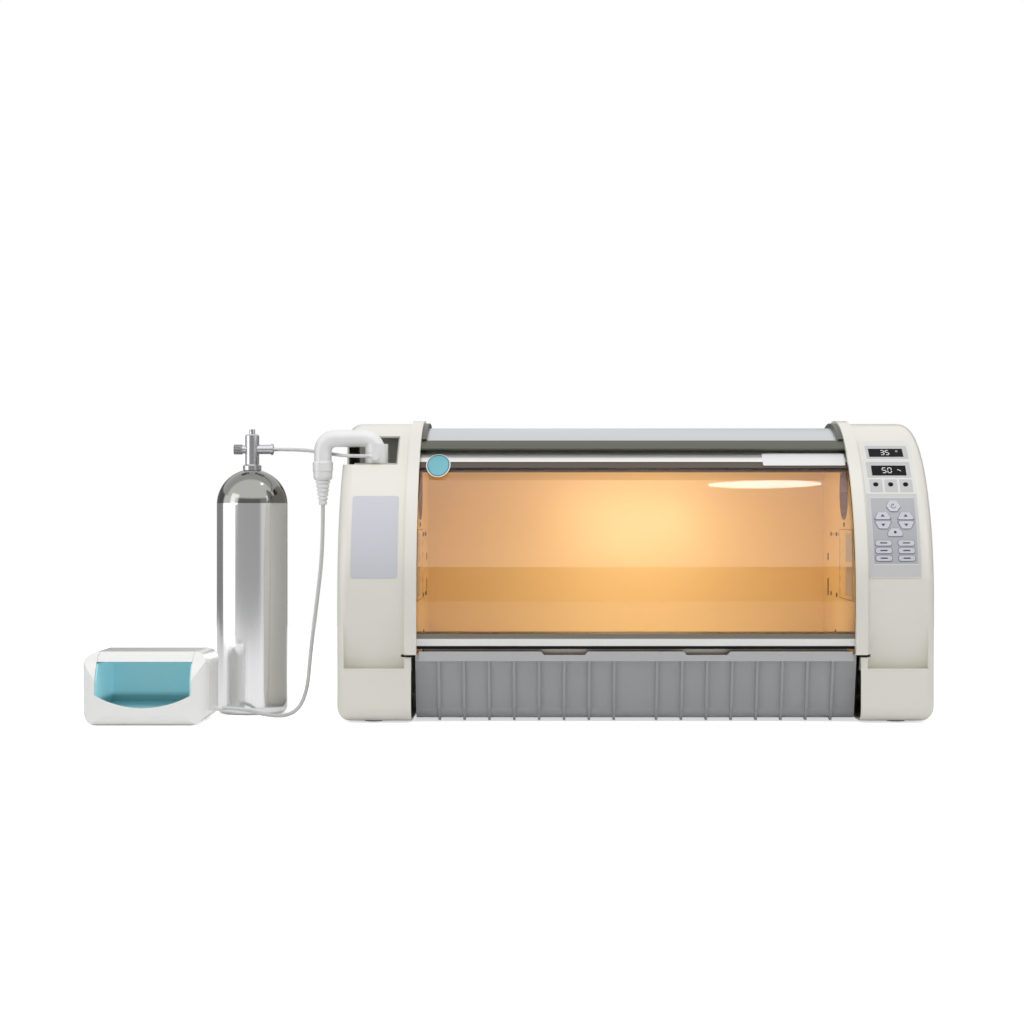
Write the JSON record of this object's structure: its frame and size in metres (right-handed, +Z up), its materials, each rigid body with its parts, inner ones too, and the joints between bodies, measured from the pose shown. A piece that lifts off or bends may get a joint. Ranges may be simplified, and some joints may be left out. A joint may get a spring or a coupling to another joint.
{
  "type": "pet brooder",
  "caption": "Heated pet brooder with a roll-top window door, control keypad, mist elbow, oxygen cylinder and nebuliser compressor.",
  "frame": {"origin": "on the table, under the middle of the whole set", "axes": "+X to the right as seen from the front, +Y to the back, +Z up"},
  "size_m": [1.286, 0.523, 0.468],
  "materials": {
    "housing_white": "gloss",
    "recess_grey": "satin",
    "liner_white": "satin",
    "lamp_warm": "satin",
    "base_grey": "satin",
    "tray_steel": "brushed",
    "roof_silver": "brushed",
    "bar_grey": "satin",
    "track_black": "matte",
    "rubber_black": "matte",
    "rail_dark": "satin",
    "rail_grey": "satin",
    "ridge_bright": "satin",
    "rail_white": "satin",
    "window_clear": "polished",
    "fan_dark": "satin",
    "overlay_grey": "satin",
    "keypad_grey": "satin",
    "key_grey": "satin",
    "display_black": "gloss",
    "lamp_black": "gloss",
    "board_green": "satin",
    "inlet_black": "satin",
    "pipe_white": "gloss",
    "cup_white": "gloss",
    "boot_grey": "satin",
    "tube_clear": "satin",
    "cylinder_metal": "polished",
    "valve_metal": "brushed",
    "knob_grey": "satin",
    "case_white": "gloss",
    "tray_teal": "gloss"
  },
  "bodies": {
    "brooder": {"left_housing": "housing_white", "right_housing": "housing_white", "port_recess": "recess_grey", "left_side_liner": "liner_white", "right_side_liner": "liner_white", "rear_liner": "liner_white", "ceiling_liner": "liner_white", "vent_inserts": "liner_white", "ceiling_lamp": "lamp_warm", "base_pan": "base_grey", "floor_tray": "tray_steel", "roof_panel": "roof_silver", "rear_cover": "roof_silver", "roof_front_bar": "bar_grey", "roof_trims": "bar_grey", "door_tracks": "track_black", "rubber_feet": "rubber_black", "fan_frames": "fan_dark", "control_overlay": "overlay_grey", "keypad_plate": "keypad_grey", "temperature_display": "display_black", "humidity_display": "display_black", "status_lamps": "lamp_black", "control_board": "board_green", "mains_inlet": "inlet_black", "port_tee": "pipe_white", "mist_elbow": "pipe_white", "nebuliser_cup": "cup_white", "tube_boot": "boot_grey", "air_tube": "tube_clear", "oxygen_hose": "tube_clear", "oxygen_cylinder": "cylinder_metal", "cylinder_valve": "valve_metal", "compressor_case": "case_white", "compressor_tray": "tray_teal"},
    "door": {"door_window": "window_clear", "door_top_rail": "rail_dark", "door_top_ridge": "ridge_bright", "door_top_lip": "rail_grey", "door_bottom_trim": "rail_dark", "door_bottom_rail": "rail_white", "door_seal": "rubber_black", "door_guides": "track_black"},
    "left_fan": {"left_fan_rotor": "fan_dark"},
    "right_fan": {"right_fan_rotor": "fan_dark"},
    "spindle": {"valve_spindle": "valve_metal"},
    "knob": {"flow_knob": "knob_grey"},
    "lid": {"compressor_lid": "case_white"},
    "key_power_body": {"key_power": "key_grey"},
    "key_temperature_up_body": {"key_temperature_up": "key_grey"},
    "key_temperature_down_body": {"key_temperature_down": "key_grey"},
    "key_humidity_up_body": {"key_humidity_up": "key_grey"},
    "key_humidity_down_body": {"key_humidity_down": "key_grey"},
    "key_confirm_body": {"key_confirm": "key_grey"},
    "key_function_one_body": {"key_function_one": "key_grey"},
    "key_function_two_body": {"key_function_two": "key_grey"},
    "key_function_three_body": {"key_function_three": "key_grey"},
    "key_function_four_body": {"key_function_four": "key_grey"},
    "key_function_five_body": {"key_function_five": "key_grey"},
    "key_function_six_body": {"key_function_six": "key_grey"}
  },
  "joints": [
    {"name": "door_turn", "type": "hinge", "parent": "brooder", "child": "door", "pos_m": [0.19, 0.0525, 0.189], "axis": [-1, 0, 0], "range_deg": [0, 65]},
    {"name": "left_fan_spin", "type": "hinge", "parent": "brooder", "child": "left_fan", "pos_m": [-0.157, -0.0615, 0.352], "axis": [1, 0, 0], "continuous": true},
    {"name": "right_fan_spin", "type": "hinge", "parent": "brooder", "child": "right_fan", "pos_m": [0.537, -0.0615, 0.352], "axis": [1, 0, 0], "continuous": true},
    {"name": "spindle_turn", "type": "hinge", "parent": "brooder", "child": "spindle", "pos_m": [-0.414, -0.0275, 0.4466], "axis": [0, 0, 1], "range_deg": [0, 270]},
    {"name": "knob_turn", "type": "hinge", "parent": "brooder", "child": "knob", "pos_m": [-0.43, -0.0275, 0.41959], "axis": [-1, 0, 0], "range_deg": [0, 300]},
    {"name": "lid_turn", "type": "hinge", "parent": "brooder", "child": "lid", "pos_m": [-0.549, -0.118, 0.105], "axis": [-1, 0, 0], "range_deg": [0, 75]},
    {"name": "key_power_press", "type": "slide", "parent": "brooder", "child": "key_power_body", "axis": [0, 0.8607, -0.509], "range_m": [0, 0.0008], "stiffness_N_per_m": 600},
    {"name": "key_temperature_up_press", "type": "slide", "parent": "brooder", "child": "key_temperature_up_body", "axis": [0, 0.8906, -0.4548], "range_m": [0, 0.0008], "stiffness_N_per_m": 600},
    {"name": "key_temperature_down_press", "type": "slide", "parent": "brooder", "child": "key_temperature_down_body", "axis": [0, 0.9146, -0.4043], "range_m": [0, 0.0008], "stiffness_N_per_m": 600},
    {"name": "key_humidity_up_press", "type": "slide", "parent": "brooder", "child": "key_humidity_up_body", "axis": [0, 0.8906, -0.4548], "range_m": [0, 0.0008], "stiffness_N_per_m": 600},
    {"name": "key_humidity_down_press", "type": "slide", "parent": "brooder", "child": "key_humidity_down_body", "axis": [0, 0.9146, -0.4043], "range_m": [0, 0.0008], "stiffness_N_per_m": 600},
    {"name": "key_confirm_press", "type": "slide", "parent": "brooder", "child": "key_confirm_body", "axis": [0, 0.9314, -0.3641], "range_m": [0, 0.0008], "stiffness_N_per_m": 600},
    {"name": "key_function_one_press", "type": "slide", "parent": "brooder", "child": "key_function_one_body", "axis": [0, 0.9524, -0.3049], "range_m": [0, 0.0008], "stiffness_N_per_m": 600},
    {"name": "key_function_two_press", "type": "slide", "parent": "brooder", "child": "key_function_two_body", "axis": [0, 0.9524, -0.3049], "range_m": [0, 0.0008], "stiffness_N_per_m": 600},
    {"name": "key_function_three_press", "type": "slide", "parent": "brooder", "child": "key_function_three_body", "axis": [0, 0.9646, -0.2635], "range_m": [0, 0.0008], "stiffness_N_per_m": 600},
    {"name": "key_function_four_press", "type": "slide", "parent": "brooder", "child": "key_function_four_body", "axis": [0, 0.9646, -0.2635], "range_m": [0, 0.0008], "stiffness_N_per_m": 600},
    {"name": "key_function_five_press", "type": "slide", "parent": "brooder", "child": "key_function_five_body", "axis": [0, 0.9751, -0.2217], "range_m": [0, 0.0008], "stiffness_N_per_m": 600},
    {"name": "key_function_six_press", "type": "slide", "parent": "brooder", "child": "key_function_six_body", "axis": [0, 0.9751, -0.2217], "range_m": [0, 0.0008], "stiffness_N_per_m": 600}
  ]
}
